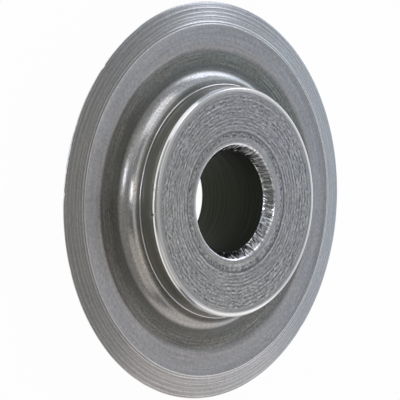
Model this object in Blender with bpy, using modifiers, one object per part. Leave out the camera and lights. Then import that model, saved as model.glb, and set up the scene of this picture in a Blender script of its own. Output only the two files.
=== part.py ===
# Pipe cutter wheel: hub, flange and cutting edge turned from one bar of high-speed steel.
# The bore's axis is +Z and the origin lies on it, in the plane of the cutting edge.
import math

import bpy

MM = 0.001

# Cutting edge and flange
WHEEL_DIAMETER = 23.5 * MM
EDGE_ANGLE = math.radians(35)  # between the two bevels
EDGE_LAND = 0.04 * MM  # width of the honed edge
FLANGE_THICKNESS = 0.88 * MM
GROUND_RING_WIDTH = 1.37 * MM  # flat ground ring inside each bevel

# Web, left as turned between the ground ring and the hub
WEB_RECESS = 0.06 * MM  # below the ground ring, on each side
WEB_RAMP = 0.14 * MM  # radial run of the slope down to the web
COVE_RADIUS = 1.15 * MM  # fillet from the web up to the shoulder

# Hub
HUB_DIAMETER = 13.6 * MM
HUB_LENGTH = 5.6 * MM
HUB_CHAMFER = 0.25 * MM
SHOULDER_STEP = 0.135 * MM  # how far the shoulder's ledge stands out from the hub wall
SHOULDER_FALL = 0.03 * MM  # how far the ledge falls from the wall to its corner
SHOULDER_LAND = 0.05 * MM  # straight stretch between that corner and the cove

# Bore
BORE_DIAMETER = 6.0 * MM
FRONT_COUNTERSINK = 0.41 * MM  # how far its mouth stands out from the bore, on the face shown
FRONT_COUNTERSINK_DEPTH = 0.6 * MM
BACK_DEBURR = 0.03 * MM  # leg of the broken edge at the bore's other end

# Fineness of the turned surface
TURN_STEPS = 112
COVE_STEPS = 10
CREASE_ANGLE = math.radians(14)

STEEL_COLOUR = (0.30, 0.31, 0.31, 1.0)
STEEL_ROUGHNESS = 0.34


def clear_scene():
    for old in list(bpy.data.objects):
        bpy.data.objects.remove(old, do_unlink=True)


def high_speed_steel():
    material = bpy.data.materials.new("high_speed_steel")
    material.use_nodes = True
    shader = material.node_tree.nodes["Principled BSDF"]
    shader.inputs["Base Color"].default_value = STEEL_COLOUR
    shader.inputs["Metallic"].default_value = 1.0
    shader.inputs["Roughness"].default_value = STEEL_ROUGHNESS
    material.diffuse_color = STEEL_COLOUR
    return material


def cove(centre_radius, centre_height, radius):
    """Points of the fillet as (radius, height), from the shoulder wall down to the web."""
    points = []
    for step in range(COVE_STEPS + 1):
        turn = math.pi / 2 * step / COVE_STEPS
        points.append((
            centre_radius - radius * math.cos(turn),
            centre_height - radius * math.sin(turn),
        ))
    return points


def half_outline():
    """The outside above the cutting plane, from the hub's end face out and down to the cutting edge."""
    wheel_radius = WHEEL_DIAMETER / 2
    hub_radius = HUB_DIAMETER / 2
    hub_top = HUB_LENGTH / 2
    ring_height = FLANGE_THICKNESS / 2
    web_height = ring_height - WEB_RECESS

    bevel_run = (ring_height - EDGE_LAND / 2) / math.tan(EDGE_ANGLE / 2)
    bevel_top = wheel_radius - bevel_run
    ring_inner = bevel_top - GROUND_RING_WIDTH
    web_outer = ring_inner - WEB_RAMP

    shoulder_radius = hub_radius + SHOULDER_STEP
    # A fillet can't be wider than the web it starts on.
    cove_radius = min(COVE_RADIUS, web_outer - shoulder_radius)
    shoulder_top = web_height + cove_radius + SHOULDER_LAND

    return [
        (hub_radius - HUB_CHAMFER, hub_top),
        (hub_radius, hub_top - HUB_CHAMFER),
        (hub_radius, shoulder_top + SHOULDER_FALL),
        (shoulder_radius, shoulder_top),
        *cove(shoulder_radius + cove_radius, web_height + cove_radius, cove_radius),
        (web_outer, web_height),
        (ring_inner, ring_height),
        (bevel_top, ring_height),
        (wheel_radius, EDGE_LAND / 2),
    ]


def wheel_outline():
    """The whole closed section: outside from top to bottom, then up through the bore."""
    upper = half_outline()
    lower = [(radius, -height) for radius, height in reversed(upper)]
    bore_radius = BORE_DIAMETER / 2
    end = HUB_LENGTH / 2
    bore = [
        (bore_radius + BACK_DEBURR, -end),
        (bore_radius, -end + BACK_DEBURR),
        (bore_radius, end - FRONT_COUNTERSINK_DEPTH),
        (bore_radius + FRONT_COUNTERSINK, end),
    ]
    return upper + lower + bore


def turned(name, outline, collection):
    """An object whose mesh is the outline swept once round Z."""
    profile = bpy.data.meshes.new(name + "_profile")
    count = len(outline)
    profile.from_pydata(
        [(radius, 0, height) for radius, height in outline],
        [(i, (i + 1) % count) for i in range(count)],
        [],
    )
    piece = bpy.data.objects.new(name, profile)
    collection.objects.link(piece)

    screw = piece.modifiers.new("Turn", "SCREW")
    screw.axis = "Z"
    screw.angle = math.tau
    screw.steps = TURN_STEPS
    screw.render_steps = TURN_STEPS
    screw.use_merge_vertices = True
    screw.merge_threshold = 0.000001

    graph = bpy.context.evaluated_depsgraph_get()
    piece.data = bpy.data.meshes.new_from_object(piece.evaluated_get(graph))
    piece.data.name = name
    piece.modifiers.clear()
    bpy.data.meshes.remove(profile)
    piece.data.shade_smooth()
    piece.data.set_sharp_from_angle(angle=CREASE_ANGLE)
    return piece


clear_scene()
parts = bpy.data.collections.new("pipe_cutter_wheel")
bpy.context.scene.collection.children.link(parts)
wheel = turned("cutter_wheel", wheel_outline(), parts)
wheel.data.materials.append(high_speed_steel())
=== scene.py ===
# Pipe cutter wheel of high-speed steel, dressed for its picture. It was turned from bar, hardened and
# ground, and lies here on the end of its hub. Its axis is +Z, and the origin is in the plane of its edge.
import math
from collections import namedtuple

import bpy
import numpy as np
from mathutils import Matrix, Vector, noise


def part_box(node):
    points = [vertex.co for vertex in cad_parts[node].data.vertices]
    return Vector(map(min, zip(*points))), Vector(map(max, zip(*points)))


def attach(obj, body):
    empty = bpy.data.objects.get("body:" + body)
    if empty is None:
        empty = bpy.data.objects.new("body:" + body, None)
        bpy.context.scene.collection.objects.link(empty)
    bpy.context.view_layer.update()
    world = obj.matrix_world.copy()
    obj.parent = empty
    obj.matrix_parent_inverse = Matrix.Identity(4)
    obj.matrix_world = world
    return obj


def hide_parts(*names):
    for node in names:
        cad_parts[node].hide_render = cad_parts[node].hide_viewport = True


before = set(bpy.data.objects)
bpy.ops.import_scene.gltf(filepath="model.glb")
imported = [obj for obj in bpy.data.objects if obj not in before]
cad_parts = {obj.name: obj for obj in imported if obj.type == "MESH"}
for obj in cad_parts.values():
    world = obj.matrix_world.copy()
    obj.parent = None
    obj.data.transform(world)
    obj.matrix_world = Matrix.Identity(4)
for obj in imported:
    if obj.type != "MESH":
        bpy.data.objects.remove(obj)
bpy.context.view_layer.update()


# Bore and countersinks. The wheel turns on a pin through a reamed hole in its hub. On the face shown, a
# drill has chattered round a deep countersink; on the back the hole is only deburred.
MM = 0.001  # sizes are in millimetres, unless a comment says otherwise
wheel_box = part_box("cutter_wheel")
HUB_TOP = wheel_box[1].z / MM  # the hub's end faces are this far above and below the edge
BORE_RADIUS = 3.0
FRONT_MOUTH = 3.41  # radius of the countersink's mouth
FRONT_DEPTH = 0.6
FRONT_ROUNDING = (0.05, 0.14)  # of its edge at the bore and of the one at its mouth
BACK_MOUTH = 3.03
BACK_DEPTH = 0.03
BACK_ROUNDING = (0.01, 0.01)
MOUTH_RIM = 0.2  # the end face's first stretch outside the mouth
ROUNDING_STEPS = 4
CHATTER_LENGTH = 0.19  # round the hole, from one mark to the next
CHATTER_WIDTH = 0.5
CHATTER_SLANT = 0.2  # radians that a mark leans over for each mm outwards
CHATTER_DEPTH = 0.028
CHATTER_STEPS = 8
CHATTER_FADE = 0.6  # smaller keeps the marks deep for longer, towards both edges
CHATTER_FALL = 0.7  # down for each mm outwards, which is square to the countersink
BULGE = 0.03  # how far the countersink swells towards the axis, between its edges
WANDER = 0.08  # how far tears wander in and out
WANDER_SIZE = 0.45
SEED_SPACING = 40  # so far apart in the noise, two seeds have nothing in common

# Segments round the wheel: most rows of the turned surface are even and need few, and torn ones need many.
COARSE = 160
FINE = 480

Row = namedtuple("Row", "radius height finish")


def angles(count):
    return np.linspace(0, math.tau, count, endpoint=False)


def row(radius, height, finish, count=COARSE):
    """One ring of vertices, in mm. Radius and height are numbers, or arrays that change round the wheel."""
    return Row(np.zeros(count) + radius, np.zeros(count) + height, finish)


def rounded(corners, sizes, steps=ROUNDING_STEPS):
    """The outline through these corners as (radius, height), with the inner ones rounded to these radii."""
    points = [Vector(corners[0])]
    for before, corner, after, size in zip(corners, corners[1:], corners[2:], sizes):
        corner = Vector(corner)
        back = (Vector(before) - corner).normalized()
        ahead = (Vector(after) - corner).normalized()
        half = back.angle(ahead) / 2
        centre = corner + (back + ahead).normalized() * (size / math.sin(half))
        start = corner + back * (size / math.tan(half)) - centre
        end = corner + ahead * (size / math.tan(half)) - centre
        for share in np.linspace(0, 1, steps):
            points.append(centre + start.lerp(end, share).normalized() * size)
    return [*points, Vector(corners[-1])]


def wander(count, seed, slowest, fastest):
    """A smooth curve round the wheel between about -1 and 1, with from slowest to fastest waves."""
    dice = np.random.default_rng(seed)
    turn = angles(count)
    curve = np.zeros(count)
    for waves in range(slowest, fastest + 1):
        curve += dice.normal() * np.cos(waves * turn + dice.uniform(0, math.tau))
    return curve / math.sqrt(fastest - slowest + 1)


def torn(radius, across, length, seed, slant=0, track=None):
    """How far a tool has torn the steel round this radius, from -1 to 1. A tear is across wide and length
    long, and slant turns it as the radius grows. Tears that run outwards are laid out on the radius of
    their track, so that they stay straight."""
    depths = []
    for turn in angles(FINE) + slant * radius:
        place = Vector((math.cos(turn), math.sin(turn), 0)) * (track or radius)
        bend = WANDER * noise.noise(place / WANDER_SIZE)
        place /= length
        place.z = (radius + bend) / across + SEED_SPACING * seed
        depths.append(2 * noise.noise(place))
    return np.array(depths)


def countersink_rows(mouth, depth, rounding, steps, chatter_depth):
    """From the bore over its edge, out through the countersink and over its mouth."""
    corners = (
        (BORE_RADIUS, 0),
        (BORE_RADIUS, HUB_TOP - depth),
        (mouth, HUB_TOP),
        (mouth + MOUTH_RIM, HUB_TOP),
    )
    curves = rounded(corners, rounding)[1:-1]
    bore_edge = curves[:ROUNDING_STEPS]
    mouth_edge = curves[ROUNDING_STEPS:]
    rows = [row(*point, "drilled_countersink", FINE) for point in bore_edge]
    for share in np.linspace(0, 1, steps + 2)[1:-1]:
        point = bore_edge[-1].lerp(mouth_edge[0], share)
        swell = math.sin(math.pi * share)
        # Each mark is a smooth hollow, with a sharp crest between it and the next.
        marks = torn(point.x, CHATTER_WIDTH, CHATTER_LENGTH, 1, CHATTER_SLANT, BORE_RADIUS)
        dig = chatter_depth * swell**CHATTER_FADE * (2 * np.abs(marks) - 0.5) - BULGE * swell
        rows.append(row(point.x + dig, point.y - CHATTER_FALL * dig, "drilled_countersink", FINE))
    rows += [row(*point, "drilled_countersink", FINE) for point in mouth_edge[:2]]
    rows += [row(*point, "faced_end", FINE) for point in mouth_edge[2:]]
    return rows


def linear(hex_colour):
    """The linear colour of an sRGB hex value."""
    parts = [int(hex_colour[i : i + 2], 16) / 255 for i in (1, 3, 5)]
    return (*[c / 12.92 if c <= 0.04045 else ((c + 0.055) / 1.055) ** 2.4 for c in parts], 1)


def add_node(tree, kind, links=None, **settings):
    """Adds a node. In links, a socket is linked to the input named, and anything else is its value."""
    node = tree.nodes.new(kind)
    for name, value in settings.items():
        setattr(node, name, value)
    for name, value in (links or {}).items():
        if isinstance(value, bpy.types.NodeSocket):
            tree.links.new(value, node.inputs[name])
        else:
            node.inputs[name].default_value = value
    return node


# The finest real tool lines are about 0.03 mm wide, half a pixel of the picture. They are drawn 0.05 mm wide
# and more, so that they show.
Marks = namedtuple("Marks", "width length contrast depth")
Rings = namedtuple("Rings", "pitch length contrast depth wander")
NO_MARKS = Marks(0.1, 0.1, 0, 0)
STAIN_SIZE = 1.2  # patches that the hardening heat has tinted
# The two stain colours also paint a colour cast of reflected light, the second taking over towards one side
# of the wheel.
PAINTED_CAST_SIDE = (-0.6, 0.8, 0)  # towards the second stain
PAINTED_CAST_REACH = 10  # how far from the axis the second stain has taken over
NO_STAINS_OR_CAST = ("#FFFFFF", "#FFFFFF")


def ring_marks(tree, place, rings):
    """Even tool marks round the axis, which wander in and out and are worn away in patches."""
    scale = math.pi / 10 / (rings.pitch * MM)
    cut = add_node(
        tree,
        "ShaderNodeTexWave",
        {
            "Vector": place,
            "Scale": scale,
            "Distortion": 4 * math.pi * rings.wander / rings.pitch,
            "Detail": 2,
            "Detail Scale": 1 / (scale * rings.length * MM),
            "Detail Roughness": 0.6,
        },
        wave_type="RINGS",
        rings_direction="Z",
    ).outputs["Fac"]
    worn = add_node(
        tree, "ShaderNodeTexNoise", {"Vector": place, "Scale": 1 / (rings.length * MM), "Detail": 1}
    ).outputs["Fac"]
    worn = add_node(
        tree, "ShaderNodeMapRange", {"Value": worn, "From Min": 0.35, "From Max": 0.65}
    ).outputs[0]
    return add_node(tree, "ShaderNodeMix", {0: worn, 2: 0.5, 3: cut}).outputs[0]


def tool_marks(tree, heading, along, radius, marks):
    """Noise that changes fast along the turned outline and slowly round the axis."""
    drift = radius / marks.length
    across = add_node(
        tree, "ShaderNodeMath", {0: along, 1: 1 / (marks.width * MM)}, operation="MULTIPLY"
    ).outputs[0]
    across = add_node(tree, "ShaderNodeCombineXYZ", {"Z": across}).outputs[0]
    marks_at = add_node(
        tree,
        "ShaderNodeVectorMath",
        {0: heading, 1: (drift, drift, drift), 2: across},
        operation="MULTIPLY_ADD",
    ).outputs[0]
    return add_node(
        tree,
        "ShaderNodeTexNoise",
        {"Vector": marks_at, "Scale": 1, "Detail": 2, "Roughness": 0.6, "Distortion": 0.3},
    ).outputs["Fac"]


def stains_and_painted_cast(tree, place, tint, stains_and_cast):
    """The tint under two stains in patches, and a painted colour cast of reflected light, where one colour
    takes over from the other across the wheel.
    """
    patch = add_node(
        tree, "ShaderNodeTexNoise", {"Vector": place, "Scale": 1 / (STAIN_SIZE * MM), "Detail": 2}
    ).outputs["Fac"]
    side = add_node(
        tree, "ShaderNodeVectorMath", {0: place, 1: PAINTED_CAST_SIDE}, operation="DOT_PRODUCT"
    ).outputs["Value"]
    side = add_node(
        tree,
        "ShaderNodeMapRange",
        {"Value": side, "From Min": -PAINTED_CAST_REACH * MM, "From Max": PAINTED_CAST_REACH * MM},
    ).outputs[0]
    patch = add_node(tree, "ShaderNodeMath", {0: patch, 1: side}, operation="ADD").outputs[0]
    patch = add_node(
        tree, "ShaderNodeMapRange", {"Value": patch, "From Min": 0.6, "From Max": 1.4}
    ).outputs[0]
    stain_and_cast = add_node(
        tree, "ShaderNodeMix", {0: patch, 6: linear(stains_and_cast[0]), 7: linear(stains_and_cast[1])}, data_type="RGBA"
    ).outputs[2]
    return add_node(tree, "ShaderNodeVectorMath", {0: tint, 1: stain_and_cast}, operation="MULTIPLY").outputs[0]


def turned_steel(name, bands, lines, tears=NO_MARKS, stains_and_cast=NO_STAINS_OR_CAST, rings=None):
    """Steel with long tool lines and short tears round the axis. Each band is a radius, outwards, and the
    colour and roughness there. A mark's contrast is how much lighter and darker it makes the steel."""
    material = bpy.data.materials.new(name)
    material.use_nodes = True
    tree = material.node_tree
    shader = tree.nodes["Principled BSDF"]
    shader.inputs["Metallic"].default_value = 1
    place = add_node(tree, "ShaderNodeTexCoord").outputs["Object"]
    flat = add_node(
        tree, "ShaderNodeVectorMath", {0: place, 1: (1, 1, 0)}, operation="MULTIPLY"
    ).outputs[0]
    radius = add_node(tree, "ShaderNodeVectorMath", {0: flat}, operation="LENGTH").outputs["Value"]
    heading = add_node(tree, "ShaderNodeVectorMath", {0: flat}, operation="NORMALIZE").outputs[0]
    height = add_node(tree, "ShaderNodeSeparateXYZ", {0: place}).outputs["Z"]
    height = add_node(tree, "ShaderNodeMath", {0: height}, operation="ABSOLUTE").outputs[0]
    # The radius less the height always grows outwards along the turned outline.
    along = add_node(tree, "ShaderNodeMath", {0: radius, 1: height}, operation="SUBTRACT").outputs[0]

    # Colour and roughness by radius.
    least, most = bands[0][0], bands[-1][0]
    share = add_node(
        tree,
        "ShaderNodeMapRange",
        {"Value": radius, "From Min": least * MM, "From Max": most * MM},
    ).outputs[0]
    ramp = add_node(tree, "ShaderNodeValToRGB", {"Fac": share})
    stops = ramp.color_ramp.elements
    stops.remove(stops[1])
    for number, (at, colour, rough) in enumerate(bands):
        stop = stops.new((at - least) / (most - least)) if number else stops[0]
        stop.color = (*linear(colour)[:3], rough)
    tree.links.new(ramp.outputs["Alpha"], shader.inputs["Roughness"])
    tint = ramp.outputs["Color"]

    # Each kind of mark shades the steel and dents it.
    cuts = []
    if rings:
        cuts.append((ring_marks(tree, place, rings), rings))
    for marks in (lines, tears):
        if marks.contrast:
            cuts.append((tool_marks(tree, heading, along, (least + most) / 2, marks), marks))
    bump = None
    for cut, marks in cuts:
        shade = add_node(
            tree,
            "ShaderNodeMath",
            {0: cut, 1: 2 * marks.contrast, 2: 1 - marks.contrast},
            operation="MULTIPLY_ADD",
        ).outputs[0]
        tint = add_node(
            tree, "ShaderNodeVectorMath", {0: tint, "Scale": shade}, operation="SCALE"
        ).outputs[0]
        dents = add_node(tree, "ShaderNodeBump", {"Height": cut, "Distance": marks.depth * MM})
        if bump:
            tree.links.new(bump, dents.inputs["Normal"])
        bump = dents.outputs[0]
    tree.links.new(bump, shader.inputs["Normal"])

    # Stains in patches, and a painted colour cast across the wheel.
    tint = stains_and_painted_cast(tree, place, tint, stains_and_cast)
    tree.links.new(tint, shader.inputs["Base Color"])
    return material


finishes = {}

# Reamed bore: dull, with faint marks of the reamer round it. Its nearly black colour is painted shade inside
# the hole.
finishes["reamed_bore"] = turned_steel(
    "reamed_bore_steel",
    [(BORE_RADIUS - 0.1, "#393D36", 0.62), (BORE_RADIUS + 0.1, "#393D36", 0.62)],
    lines=Marks(0.08, 6, 0.8, 0.001),
    stains_and_cast=("#F4FFF4", "#FFF6F2"),
)
# Drilled countersink: a darker grey, with lighter colour along both its edges, at the bore and at the mouth,
# that paints their highlights.
finishes["drilled_countersink"] = turned_steel(
    "drilled_countersink_steel",
    [
        (BORE_RADIUS - 0.05, "#DADCDC", 0.24),
        (BORE_RADIUS + 0.02, "#DADCDC", 0.24),
        (BORE_RADIUS + 0.07, "#8C8D8B", 0.24),
        (FRONT_MOUTH - 0.09, "#8C8D8B", 0.24),
        (FRONT_MOUTH - 0.04, "#DDDEDE", 0.18),
        (FRONT_MOUTH + 0.05, "#DDDEDE", 0.18),
    ],
    lines=Marks(0.7, 0.2, 1.3, 0.008),
    stains_and_cast=("#FFFBF6", "#F6F8FA"),
)


# Hub end faces. Each was faced off in the lathe with a pointed tool, which tore the steel in places and
# left fine rings in others. A darker, rougher ring runs round the mouth of the bore.
FACE_LEVEL = HUB_TOP - 0.002
# Radii of what the tool left, outwards from the bore.
SMOOTH_BAND = (3.60, 3.80)
ROUGH_RING = (3.83, 4.08)
INNER_GROOVE = 4.13
RINGED_FROM = 4.2
FINE_RINGS = (4.33, 4.45, 4.53, 4.68, 4.77, 4.86, 5.00)
MIDDLE_GROOVE = 5.22
TORN_BAND = (5.30, 6.24)
OUTER_GROOVES = (6.33, 6.42)
# Sizes of those marks.
GROOVE_WIDTH = 0.06
GROOVE_DEPTH = 0.009
FINE_RING_DEPTH = 0.0045
WAVER = 0.3  # share of a mark's depth that comes and goes round the wheel
TEAR_WIDTH = 0.14
TEAR_DEPTH = 0.009
TEAR_STEP = 0.06  # from one row of vertices to the next
ROUGH_LENGTH = 0.22
ROUGH_LEVEL = HUB_TOP - 0.01
TORN_LENGTH = 0.35
TORN_LEVEL = HUB_TOP - 0.006


def scored(places, depth, finish, seed):
    """Rows for V-shaped tool marks at these radii. Each mark's depth changes slowly round the wheel."""
    rows = []
    for number, place in enumerate(places):
        bite = depth * (1 - WAVER + WAVER * wander(COARSE, seed + number, 1, 6))
        rows.append(row(place - GROOVE_WIDTH / 2, FACE_LEVEL, finish))
        rows.append(row(place, FACE_LEVEL - bite, finish))
        rows.append(row(place + GROOVE_WIDTH / 2, FACE_LEVEL, finish))
    return rows


def torn_rows(band, level, length, finish, seed):
    """Rows across a band of radii where the tool has torn the steel."""
    rows = []
    for radius in np.arange(*band, TEAR_STEP):
        tears = torn(radius, TEAR_WIDTH, length, seed)
        rows.append(row(radius, level + TEAR_DEPTH * tears, finish, FINE))
    return rows


def end_face_rows(seed):
    """From the countersink's mouth out to the hub's rounded edge."""
    rows = [row(radius, FACE_LEVEL, "faced_end", FINE) for radius in SMOOTH_BAND]
    rows += torn_rows(ROUGH_RING, ROUGH_LEVEL, ROUGH_LENGTH, "rough_ring", seed)
    rows += scored((INNER_GROOVE,), GROOVE_DEPTH, "faced_end", seed)
    rows.append(row(RINGED_FROM, FACE_LEVEL, "ringed_end"))
    rows += scored(FINE_RINGS, FINE_RING_DEPTH, "ringed_end", seed + 5)
    rows += scored((MIDDLE_GROOVE,), GROOVE_DEPTH, "torn_end", seed + 15)
    rows += torn_rows(TORN_BAND, TORN_LEVEL, TORN_LENGTH, "torn_end", seed)
    rows += scored(OUTER_GROOVES, GROOVE_DEPTH, "faced_end", seed + 20)
    return rows


# Stain colours of the end faces, which also paint a colour cast of reflected light: warmer on one side of
# the wheel, cooler on the other.
WARM_STAIN_AND_CAST = "#FFFEF8"
COOL_STAIN_AND_CAST = "#F9FBFF"

# Faced end: satin grey steel, smooth at the mouth and the rim, with lighter colour round the countersink's
# mouth that paints the highlight on its rounded edge.
finishes["faced_end"] = turned_steel(
    "faced_end_steel",
    [
        (FRONT_MOUTH - 0.01, "#E0E0E0", 0.2),
        (FRONT_MOUTH + 0.07, "#D0D0D0", 0.22),
        (FRONT_MOUTH + 0.13, "#B0B0AF", 0.28),
        (SMOOTH_BAND[1], "#A8A8A7", 0.3),
        (INNER_GROOVE - GROOVE_WIDTH / 2, "#808080", 0.4),
        (INNER_GROOVE + GROOVE_WIDTH / 2, "#808080", 0.4),
        (RINGED_FROM + 0.04, "#B4B4B3", 0.3),
        (6.7, "#A6A6A5", 0.3),
    ],
    lines=Marks(0.08, 3, 0.6, 0.003),
    tears=Marks(0.08, 0.25, 0.5, 0.002),
    stains_and_cast=(WARM_STAIN_AND_CAST, COOL_STAIN_AND_CAST),
    rings=Rings(0.13, 0.6, 0.2, 0.001, 0.02),
)
# Rough ring: darker and duller, with short marks across it where the tool has dug in.
finishes["rough_ring"] = turned_steel(
    "rough_ring_steel",
    [(3.8, "#9B9B9A", 0.4), (4.12, "#9B9B9A", 0.4)],
    lines=Marks(0.09, 1.5, 0.6, 0.002),
    tears=Marks(0.14, 0.2, 1.6, 0.010),
    stains_and_cast=(WARM_STAIN_AND_CAST, COOL_STAIN_AND_CAST),
)
# Ringed end: fine lighter and darker rings, which wander, break off and start again.
finishes["ringed_end"] = turned_steel(
    "ringed_end_steel",
    [(4.15, "#B2B2B1", 0.3), (4.26, "#B2B2B1", 0.3), (4.32, "#A6A6A5", 0.34), (5.3, "#A6A6A5", 0.34)],
    lines=Marks(0.08, 1.5, 0.6, 0.003),
    tears=Marks(0.08, 0.25, 0.9, 0.004),
    stains_and_cast=(WARM_STAIN_AND_CAST, COOL_STAIN_AND_CAST),
    rings=Rings(0.21, 0.5, 0.4, 0.003, 0.07),
)
# Torn end: the same rings, broken up into tears.
finishes["torn_end"] = turned_steel(
    "torn_end_steel",
    [(5.2, "#A6A6A5", 0.34), (6.3, "#A6A6A5", 0.34)],
    lines=Marks(0.08, 1.2, 0.5, 0.003),
    tears=Marks(0.08, 0.22, 1.2, 0.006),
    stains_and_cast=(WARM_STAIN_AND_CAST, COOL_STAIN_AND_CAST),
    rings=Rings(0.23, 0.4, 0.4, 0.003, 0.09),
)


# Hub wall and shoulder. The outside of the hub was turned smooth, with a broken edge at its end, made
# brighter by painted highlight.
# It stands on a shoulder a little wider than itself, with a sharp corner and a fine tool mark below it.
HUB_RADIUS = 6.80
# Corners of the broken edge as radius and height from the end face, and how far all but the first are
# rounded.
HUB_EDGE = ((6.50, -0.002), (6.62, -0.005), (6.70, -0.03), (6.80, -0.15), (6.825, -0.26), (6.815, -0.40))
HUB_EDGE_ROUNDING = (0.4, 0.03, 0.03, 0.04, 0.05)
HUB_NICKS = ((189, 0.05), (176.5, 0.02))  # picture azimuth in degrees, and depth
HUB_NICK_SPREAD = 1  # degrees to each side
HUB_NICK_REACH = 0.1  # down from the end face to where a nick has its full depth
WALL_TOP = (HUB_RADIUS + 0.01, HUB_TOP - 0.5)
SHOULDER_RADIUS = 6.935
LEDGE_OUTER = 1.61  # height of the ledge at its corner
LEDGE_INNER = 1.64
LEDGE_FOOT = (HUB_RADIUS + 0.02, LEDGE_INNER - 0.004)  # next to the wall
LEDGE_ROUNDING = 0.05
LEDGE_STEPS = 6
COVE_TOP = 1.53


def nicks(places, spread):
    """How deep these nicks are round the wheel. Picture azimuths start at +Y, and each nick runs out spread
    degrees to each side."""
    depth = np.zeros(FINE)
    turn = np.degrees(angles(FINE))
    for azimuth, bite in places:
        away = np.abs((turn - 90 - azimuth + 180) % 360 - 180)
        depth += bite * np.clip(1 - away / spread, 0, None)
    return depth


def hub_rows(nicked):
    """From the end face over the broken edge, down the wall and over the ledge to the fillet."""
    corners = [(radius, HUB_TOP + drop) for radius, drop in HUB_EDGE] + [(HUB_RADIUS, LEDGE_INNER)]
    rows = []
    for radius, height in rounded(corners, HUB_EDGE_ROUNDING)[:-1]:
        share = min(1, (HUB_TOP - height) / HUB_NICK_REACH)
        bite = share * nicks(nicked, HUB_NICK_SPREAD)
        rows.append(row(radius - bite, height, "broken_edge", FINE))
    rows.append(row(*WALL_TOP, "turned_wall"))
    rows.append(row(HUB_RADIUS, LEDGE_INNER, "shoulder_ledge"))
    rows.append(row(*LEDGE_FOOT, "shoulder_ledge"))
    corners = ((HUB_RADIUS, LEDGE_INNER), (SHOULDER_RADIUS, LEDGE_OUTER), (SHOULDER_RADIUS, COVE_TOP))
    corner = rounded(corners, (LEDGE_ROUNDING,), LEDGE_STEPS)[1:-1]
    rows += [row(*point, "broken_edge") for point in corner]
    return rows


# Broken edge: smoothed by handling, as are the shoulder's corner and the worn cutting edge. Its light colour
# is painted highlight along these edges, and across the hub's edge lighter and darker bands paint two bright
# lines with a dark line between them.
finishes["broken_edge"] = turned_steel(
    "broken_edge_steel",
    [
        (HUB_RADIUS - 0.30, "#D0CFCC", 0.18),
        (HUB_RADIUS - 0.16, "#ECEBE8", 0.14),
        (HUB_RADIUS - 0.09, "#ECEBE8", 0.14),
        (HUB_RADIUS - 0.05, "#B4B3B0", 0.13),
        (HUB_RADIUS - 0.01, "#B4B3B0", 0.12),
        (HUB_RADIUS + 0.01, "#E6E5E2", 0.1),
        (HUB_RADIUS + 0.10, "#D0CFCC", 0.1),
    ],
    lines=Marks(0.05, 6, 0.3, 0.001),
)
# Ledge: dull, as the tool's corner left it.
finishes["shoulder_ledge"] = turned_steel(
    "shoulder_ledge_steel",
    [(HUB_RADIUS, "#807F7C", 0.4), (HUB_RADIUS + 0.2, "#807F7C", 0.4)],
    lines=Marks(0.05, 6, 0.3, 0.001),
)
# Turned wall: smooth and grey, with a faint straw tint from the hardening heat.
finishes["turned_wall"] = turned_steel(
    "turned_wall_steel",
    [(HUB_RADIUS, "#B1B4AF", 0.3), (HUB_RADIUS + 0.2, "#B1B4AF", 0.3)],
    lines=Marks(0.06, 6, 0.3, 0.001),
    stains_and_cast=("#FFFAF2", "#F4F8F6"),
)


# Web and cove. Between the hub and the ground ring the flange was left as it was turned, and the hardening
# has made it dark and dull. The fillet up to the hub was burnished by the pipes that rubbed on it.
WEB_HEIGHT = 0.38
WEB_INNER = 8.1
WEB_OUTER = 8.82
WEB_STEP = 0.2
COVE_RADIUS = COVE_TOP - WEB_HEIGHT
COVE_STEPS = 25
BURNISHED_FROM = 7.58  # radius where the dark scale ends
LAND_MARK_HEIGHT = 1.27  # of the fine tool mark below the shoulder's corner
LAND_MARK_WIDTH = 0.02  # half of it
LAND_MARK_DEPTH = 0.01


def cove_rows():
    """From the shoulder down the fillet to the web and out to the foot of the ground ring."""
    mark = math.asin(1 - (LAND_MARK_HEIGHT - WEB_HEIGHT) / COVE_RADIUS)
    rows = []
    for turn in np.linspace(0, math.pi / 2, COVE_STEPS):
        away = (turn - mark) * COVE_RADIUS / LAND_MARK_WIDTH
        reach = COVE_RADIUS + LAND_MARK_DEPTH * math.exp(-(away**2))
        rows.append(
            row(
                SHOULDER_RADIUS + COVE_RADIUS - reach * math.cos(turn),
                WEB_HEIGHT + COVE_RADIUS - reach * math.sin(turn),
                "burnished_cove",
            )
        )
    for radius in np.arange(WEB_INNER, WEB_OUTER, WEB_STEP):
        rows.append(row(radius, WEB_HEIGHT, "scaled_web"))
    return rows


# Burnished cove: smooth bright steel, with the last of the scale at its foot, and a lighter band at its top
# that paints the highlight of the shoulder's corner.
finishes["burnished_cove"] = turned_steel(
    "burnished_cove_steel",
    [
        (SHOULDER_RADIUS, "#C6C7C4", 0.24),
        (SHOULDER_RADIUS + 0.1, "#A6A7A4", 0.24),
        (BURNISHED_FROM - 0.08, "#A6A7A4", 0.24),
        (BURNISHED_FROM + 0.1, "#676965", 0.4),
        (WEB_INNER + 0.1, "#7E807D", 0.42),
    ],
    lines=Marks(0.08, 3, 0.3, 0.001),
    tears=Marks(0.12, 0.15, 0.5, 0.0015),
    stains_and_cast=("#FFF8F2", "#F4F8FA"),
)
# Scaled web: dark and dull from the hardening, with turning lines under the scale.
finishes["scaled_web"] = turned_steel(
    "scaled_web_steel",
    [(WEB_INNER - 0.1, "#7E807D", 0.42), (WEB_OUTER + 0.08, "#8A8C89", 0.42)],
    lines=Marks(0.09, 3, 0.6, 0.0025),
    tears=Marks(0.12, 0.18, 0.7, 0.002),
    stains_and_cast=("#FFF6EE", "#F2F8F4"),
    rings=Rings(0.2, 1.5, 0.2, 0.0015, 0.02),
)


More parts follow.
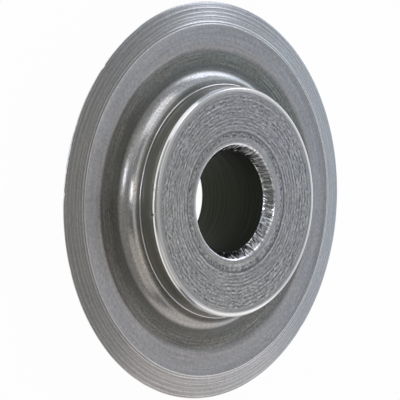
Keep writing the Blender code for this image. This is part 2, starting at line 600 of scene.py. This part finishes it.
# Ground rings, bevels and edge. After hardening, both sides of the flange were ground flat, and then the
# wheel was ground to its edge on a coarser stone, which left rings of scratches and a small burr.
WHEEL_RADIUS = wheel_box[1].x / MM
RING_HEIGHT = 0.44
RING_INNER = 9.12
RING_FLAT = (9.24, 9.8)  # rows of vertices across it
RING_FOOT_STEPS = 6
BEVEL_INNER = 10.42
BEVEL_OUTER = WHEEL_RADIUS - 0.06
BEVEL_SLOPE = 0.304  # fall for each mm outwards
# Radius, height and colour of each ridge that the stone left, whose lighter colour is painted highlight. The
# first is the burr at the ring's corner, painted nearly white.
RIDGES = (
    (10.40, 0.009, "#F8F8F8"),
    (10.55, 0.007, "#D4D5D4"),
    (10.75, 0.003, "#B8B9B8"),
    (10.89, 0.004, "#BEBFBE"),
    (11.11, 0.003, "#BCBDBC"),
    (11.37, 0.004, "#C0C1C0"),
    (11.61, 0.003, "#C0C1C0"),
)
RIDGE_WIDTH = 0.03
# The painted highlight of each ridge fades out over this distance to each side.
RIDGE_BAND = 0.04  # how far its colour reaches to each side
BEVEL_GREY = "#A2A3A2"
# The worn edge outside the bevel, as distances in from the wheel's radius and heights, and its nicks.
WORN_EDGE = ((0.03, 0.04), (0.012, 0.022), (0.004, 0.008))
EDGE_WEAR = 0.003
EDGE_NICKS = ((180.5, 0.05), (162, 0.03), (160, 0.03), (140.5, 0.04), (203, 0.02), (322, 0.03))
EDGE_NICK_SPREAD = 0.9


def ring_rows():
    """From the foot of the ground ring over its soft inner edge and out to the bevel."""
    rows = []
    for share in np.linspace(0, 1, RING_FOOT_STEPS):
        radius = WEB_OUTER + (RING_INNER - WEB_OUTER) * share
        rise = (RING_HEIGHT - WEB_HEIGHT) * (1 - math.cos(math.pi * share)) / 2
        rows.append(row(radius, WEB_HEIGHT + rise, "ground_ring"))
    rows += [row(radius, RING_HEIGHT, "ground_ring") for radius in RING_FLAT]
    return rows


def bevel_height(radius):
    return RING_HEIGHT - max(0, radius - BEVEL_INNER) * BEVEL_SLOPE


def bevel_rows(seed):
    """From the ground ring over the burr and the other ridges, down the bevel to the middle of the edge."""
    rows = []
    for number, (place, rise, _) in enumerate(RIDGES):
        crest = rise * (1 + WAVER * wander(COARSE, seed + number, 1, 6))
        for offset in (-1.6, -0.8, 0, 0.8, 1.6):
            radius = place + offset * RIDGE_WIDTH
            ridge = crest * math.exp(-(offset**2))
            rows.append(row(radius, bevel_height(radius) + ridge, "ground_bevel"))
    worn = np.clip(EDGE_WEAR * (1 + wander(FINE, 40, 2, 60)), 0, None)
    worn += nicks(EDGE_NICKS, EDGE_NICK_SPREAD)
    rows.append(row(BEVEL_OUTER - worn / 4, bevel_height(BEVEL_OUTER), "ground_bevel", FINE))
    rows += [row(WHEEL_RADIUS - inset - worn, height, "broken_edge", FINE) for inset, height in WORN_EDGE]
    return rows


# Ground ring: even satin grey.
finishes["ground_ring"] = turned_steel(
    "ground_ring_steel",
    [
        (WEB_OUTER, "#8A8C89", 0.42),
        (WEB_OUTER + 0.13, "#90918F", 0.42),
        (RING_INNER, "#B2B0AE", 0.34),
        (RING_INNER + 0.12, "#B4B2B0", 0.28),
        (9.4, "#B0B1B1", 0.3),
        (10.5, "#B0B1B1", 0.3),
    ],
    lines=Marks(0.1, 4, 0.3, 0.0005),
    tears=Marks(0.16, 0.16, 0.4, 0.0005),
    stains_and_cast=("#FFFBF8", "#F7F9FC"),
)
# Ground bevel: a little brighter, with the stone's scratches round it and a painted highlight along each
# ridge.
finishes["ground_bevel"] = turned_steel(
    "ground_bevel_steel",
    [
        (place + offset, colour, 0.26)
        for place, _, painted_highlight in RIDGES
        for offset, colour in ((-RIDGE_BAND, BEVEL_GREY), (0, painted_highlight), (RIDGE_BAND, BEVEL_GREY))
    ],
    lines=Marks(0.06, 3, 0.4, 0.003),
    tears=Marks(0.07, 0.2, 0.4, 0.0004),
    stains_and_cast=("#FFFBF7", "#F6F9F9"),
)


# The wheel. All of it is one piece of steel, so the rows above make one closed mesh: out over the front,
# round the edge, in over the back and up through the bore.
CREASE_ANGLE = math.radians(40)


def mirrored(rows):
    """The same rows on the back, from the edge inwards. Each finish covers the band that follows its row."""
    flipped = []
    for number in range(len(rows) - 1, -1, -1):
        finish = rows[number - 1].finish if number else "reamed_bore"
        flipped.append(Row(rows[number].radius, -rows[number].height, finish))
    return flipped


front = (
    countersink_rows(FRONT_MOUTH, FRONT_DEPTH, FRONT_ROUNDING, CHATTER_STEPS, CHATTER_DEPTH)
    + end_face_rows(1)
    + hub_rows(HUB_NICKS)
    + cove_rows()
    + ring_rows()
    + bevel_rows(10)
)
back = (
    countersink_rows(BACK_MOUTH, BACK_DEPTH, BACK_ROUNDING, 0, 0)
    + end_face_rows(2)
    + hub_rows(())
    + cove_rows()
    + ring_rows()
    + bevel_rows(30)
)
bore = [row(BORE_RADIUS, 0, "reamed_bore")]
outline = front + mirrored(back) + bore

vertices = []
rings = []
for ring in outline:
    count = len(ring.radius)
    first = len(vertices)
    turn = angles(count)
    places = zip(ring.radius * np.cos(turn), ring.radius * np.sin(turn), ring.height)
    vertices.extend((x * MM, y * MM, z * MM) for x, y, z in places)
    rings.append(list(range(first, first + count)))

# Where one row has fewer vertices than the other, each face takes in all that lie beside it.
faces = []
face_finishes = []
for number, inner in enumerate(rings):
    outer = rings[(number + 1) % len(rings)]
    count = min(len(inner), len(outer))
    inner_step = len(inner) // count
    outer_step = len(outer) // count
    for i in range(count):
        near = [inner[(i * inner_step + k) % len(inner)] for k in range(inner_step + 1)]
        far = [outer[(i * outer_step + k) % len(outer)] for k in range(outer_step + 1)]
        faces.append([*near[::-1], *far])
        face_finishes.append(outline[number].finish)

wheel_mesh = bpy.data.meshes.new("pipe_cutter_wheel")
wheel_mesh.from_pydata(vertices, [], faces)
for finish in finishes.values():
    wheel_mesh.materials.append(finish)
order = list(finishes)
wheel_mesh.polygons.foreach_set("material_index", [order.index(name) for name in face_finishes])
wheel_mesh.shade_smooth()
wheel_mesh.set_sharp_from_angle(angle=CREASE_ANGLE)
wheel = bpy.data.objects.new("pipe_cutter_wheel", wheel_mesh)
bpy.context.scene.collection.objects.link(wheel)
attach(wheel, "root")
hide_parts("cutter_wheel")


# Floor. A plain sheet of matt white paper lies under the hub. The camera and the bright steel see it as
# white, apart from a little of its own shade, which keeps the wheel's shadow.
FLOOR_SIZE = 1200
WHITENESS = 0.97
floor_mesh = bpy.data.meshes.new("floor")
half = FLOOR_SIZE * MM / 2
floor_z = wheel_box[0].z
floor_mesh.from_pydata(
    [(-half, -half, floor_z), (half, -half, floor_z), (half, half, floor_z), (-half, half, floor_z)],
    [],
    [(0, 1, 2, 3)],
)
floor = bpy.data.objects.new("floor", floor_mesh)
bpy.context.scene.collection.objects.link(floor)
paper = bpy.data.materials.new("matt_white_paper")
paper.use_nodes = True
tree = paper.node_tree
tree.nodes.clear()
path = add_node(tree, "ShaderNodeLightPath")
seen = add_node(
    tree,
    "ShaderNodeMath",
    {0: path.outputs["Is Camera Ray"], 1: path.outputs["Is Glossy Ray"]},
    operation="MAXIMUM",
).outputs[0]
seen = add_node(
    tree,
    "ShaderNodeMath",
    {0: seen, 1: path.outputs["Is Transmission Ray"]},
    operation="MAXIMUM",
).outputs[0]
white = add_node(tree, "ShaderNodeEmission", {"Color": linear("#FFFFFF"), "Strength": 1}).outputs[0]
sheet = add_node(tree, "ShaderNodeBsdfDiffuse", {"Color": linear("#F2F2F2")}).outputs[0]
share = add_node(tree, "ShaderNodeMath", {0: seen, 1: WHITENESS}, operation="MULTIPLY").outputs[0]
mixed = add_node(tree, "ShaderNodeMixShader", {"Fac": share, 1: sheet, 2: white}).outputs[0]
add_node(tree, "ShaderNodeOutputMaterial", {"Surface": mixed})
floor_mesh.materials.append(paper)


# Lights. Soft boxes stand round the wheel, where its steel mirrors something bright. Their distance and
# sizes are in metres, and their brightness is what a mirror would show of them, where 1 is white.
LAMP_DISTANCE = 0.4


def soft_box(name, azimuth, elevation, size, brightness, colour):
    """A square soft box aimed at the wheel. Azimuth 0 is the camera's side (-Y) and 90 is +X."""
    turn = math.radians(azimuth)
    lift = math.radians(elevation)
    side = math.cos(lift)
    towards = Vector((math.sin(turn) * side, -math.cos(turn) * side, math.sin(lift)))
    data = bpy.data.lights.new(name, "AREA")
    data.shape = "SQUARE"
    data.size = size
    data.energy = brightness * math.pi * size**2
    data.color = linear(colour)[:3]
    lamp = bpy.data.objects.new(name, data)
    lamp.location = towards * LAMP_DISTANCE
    lamp.rotation_mode = "QUATERNION"
    lamp.rotation_quaternion = towards.to_track_quat("Z", "Y")
    bpy.context.scene.collection.objects.link(lamp)


soft_box("window", 225, 25, 0.18, 2.6, "#F0F0FF")
soft_box("window_sill", 210, 2, 0.18, 0.95, "#EAF3FF")
soft_box("far_wall", 285, 9, 0.3, 1.33, "#F8F6FF")
soft_box("back_wall", 135, 22, 0.42, 0.5, "#FFF6F4")
soft_box("warm_side", 60, 10, 0.4, 0.54, "#FFF7F1")
soft_box("low_lamp", -4, 11, 0.1, 4.6, "#F2F4FF")
soft_box("lamp_over_camera", -21, 60, 0.08, 4.8, "#E8ECFF")
soft_box("top_left_wall", 315, 38, 0.25, 0.28, "#FFFFFF")
soft_box("back_corner", 180, 25, 0.25, 0.19, "#FFFFFF")


# Room. It is brightest along the far side and towards the top of the picture, dark behind the camera and
# grey overhead.
ROOM_BRIGHT_SIDE = (-0.725, 0.689, 0)
ROOM_LEVEL = 1.1
world = bpy.context.scene.world or bpy.data.worlds.new("studio")
bpy.context.scene.world = world
world.use_nodes = True
tree = world.node_tree
tree.nodes.clear()
sky = add_node(tree, "ShaderNodeTexCoord").outputs["Generated"]
facing = add_node(
    tree, "ShaderNodeVectorMath", {0: sky, 1: ROOM_BRIGHT_SIDE}, operation="DOT_PRODUCT"
).outputs["Value"]
facing = add_node(tree, "ShaderNodeMapRange", {"Value": facing, "From Min": -1}).outputs[0]
level = add_node(
    tree, "ShaderNodeMix", {0: facing, 6: linear("#676A73"), 7: linear("#E7EDFF")}, data_type="RGBA"
).outputs[2]
up = add_node(tree, "ShaderNodeSeparateXYZ", {0: sky}).outputs["Z"]
colour = add_node(
    tree, "ShaderNodeMix", {0: up, 6: level, 7: linear("#A4A4A4")}, data_type="RGBA"
).outputs[2]
room = add_node(tree, "ShaderNodeBackground", {"Color": colour, "Strength": ROOM_LEVEL}).outputs[0]
add_node(tree, "ShaderNodeOutputWorld", {"Surface": room})


# Camera. A long lens looks from the photograph's side, with the wheel's axis lying across the picture.
# It is so far off that its rays are nearly parallel.
AXIS_TO_VIEW = math.radians(46.659)
AXIS_DROP = math.radians(3.499)  # the axis points this far below level in the picture
CAMERA_DISTANCE = 90 * WHEEL_RADIUS * MM  # in metres, as Blender takes it
PIXELS_PER_RADIUS = 198.968
PICTURE_SIZE = 400
CENTRE_PIXEL = (201.217, 199.859)
SENSOR = 36

to_camera = Vector((0, -math.sin(AXIS_TO_VIEW), math.cos(AXIS_TO_VIEW)))
level_right = Vector((0, math.cos(AXIS_TO_VIEW), math.sin(AXIS_TO_VIEW)))
level_up = Vector((-1, 0, 0))
right = level_right * math.cos(AXIS_DROP) + level_up * math.sin(AXIS_DROP)
up = level_up * math.cos(AXIS_DROP) - level_right * math.sin(AXIS_DROP)

camera_data = bpy.data.cameras.new("camera")
camera_data.sensor_width = SENSOR
picture_width = PICTURE_SIZE / PIXELS_PER_RADIUS * WHEEL_RADIUS * MM
camera_data.lens = SENSOR * CAMERA_DISTANCE / picture_width
camera_data.shift_x = (PICTURE_SIZE / 2 - CENTRE_PIXEL[0]) / PICTURE_SIZE
camera_data.shift_y = (CENTRE_PIXEL[1] - PICTURE_SIZE / 2) / PICTURE_SIZE
camera_data.clip_start = 0.1
camera_data.clip_end = 10
camera = bpy.data.objects.new("camera", camera_data)
camera.matrix_world = Matrix.Translation(to_camera * CAMERA_DISTANCE) @ Matrix(
    (right, up, to_camera)
).transposed().to_4x4()
bpy.context.scene.collection.objects.link(camera)
bpy.context.scene.camera = camera
bpy.context.scene.view_settings.view_transform = "Standard"
